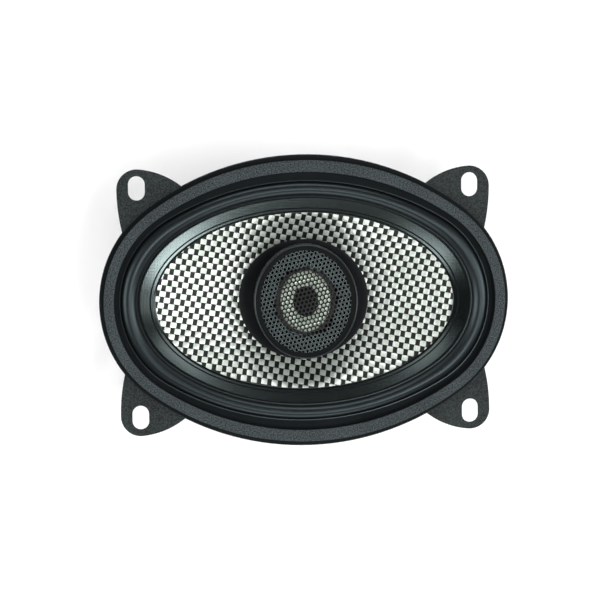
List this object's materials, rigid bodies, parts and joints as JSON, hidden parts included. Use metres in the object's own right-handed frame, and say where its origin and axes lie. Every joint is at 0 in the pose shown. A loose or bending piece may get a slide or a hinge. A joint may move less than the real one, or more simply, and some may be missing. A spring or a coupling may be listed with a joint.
{
  "type": "coaxial car speaker",
  "caption": "Oval coaxial car speaker: pressed frame with slotted ears, woven cone on a rubber roll surround, centre tweeter on a post, ferrite motor and blade terminals.",
  "frame": {"origin": "middle of the magnet's back face, on which the speaker lies", "axes": "+Z is the listening axis, out of the cone; +X runs along the oval's long axis, towards the terminals"},
  "size_m": [0.1536, 0.1094, 0.0532],
  "materials": {
    "frame_coat": "fine-grained black powder coat",
    "ring_grain": "fine-grained dark grey moulding",
    "surround_rubber": "satin butyl rubber",
    "woven_cone": "plain weave of bright glass and black tows under clear resin",
    "collar_black": "matt black pressed paper",
    "spider_cloth": "resin-dipped corrugated cotton",
    "coil_film": "amber polyimide film",
    "copper_wire": "enamelled copper winding",
    "zinc_steel": "clear zinc plate",
    "ferrite": "dull dark grey ferrite",
    "screw_steel": "bright zinc",
    "tweeter_plastic": "satin black moulding",
    "grille_steel": "dark perforated steel",
    "neodymium": "nickel plate",
    "dome_film": "metallised film",
    "dome_rubber": "soft black edge",
    "board_fibre": "brown phenolic board",
    "tinned_brass": "tinned brass",
    "cap_sleeve": "dark blue shrink sleeve",
    "braid": "copper braid",
    "wire_skin": "soft insulated lead"
  },
  "bodies": {
    "frame": {"flange": "frame_coat", "basket_collar": "frame_coat", "basket": "frame_coat", "front_ring": "ring_grain", "surround": "surround_rubber", "spider": "spider_cloth", "t_yoke": "zinc_steel", "ferrite_magnet": "ferrite", "top_plate": "zinc_steel", "motor_screws": "screw_steel", "tweeter_post": "tweeter_plastic", "post_nut": "screw_steel", "housing_nut": "screw_steel", "tweeter_housing": "tweeter_plastic", "tweeter_bezel": "tweeter_plastic", "tweeter_grille": "grille_steel", "tweeter_frame": "tweeter_plastic", "tweeter_cup": "zinc_steel", "tweeter_magnet": "neodymium", "tweeter_pole_plate": "zinc_steel", "tweeter_surround": "dome_rubber", "terminal_board": "board_fibre", "board_rivets": "screw_steel", "positive_tab": "tinned_brass", "negative_tab": "tinned_brass", "tab_rivets": "screw_steel", "capacitor": "cap_sleeve", "capacitor_leads": "tinned_brass", "tinsel_leads": "braid", "tweeter_wires": "wire_skin"},
    "moving_cone": {"cone": "woven_cone", "neck_collar": "collar_black", "voice_coil_former": "coil_film", "voice_coil_winding": "copper_wire", "lead_eyelets": "tinned_brass"},
    "tweeter_diaphragm": {"tweeter_dome": "dome_film", "tweeter_coil": "copper_wire"}
  },
  "joints": [
    {"name": "cone_excursion", "type": "slide", "parent": "frame", "child": "moving_cone", "axis": [0, 0, 1], "range_m": [-0.003, 0.003], "stiffness_N_per_m": 2500, "deforming": ["surround", "spider", "tinsel_leads"]},
    {"name": "tweeter_excursion", "type": "slide", "parent": "frame", "child": "tweeter_diaphragm", "axis": [0, 0, 1], "range_m": [-0.00015, 0.00015], "stiffness_N_per_m": 1500, "deforming": ["tweeter_surround"]}
  ]
}
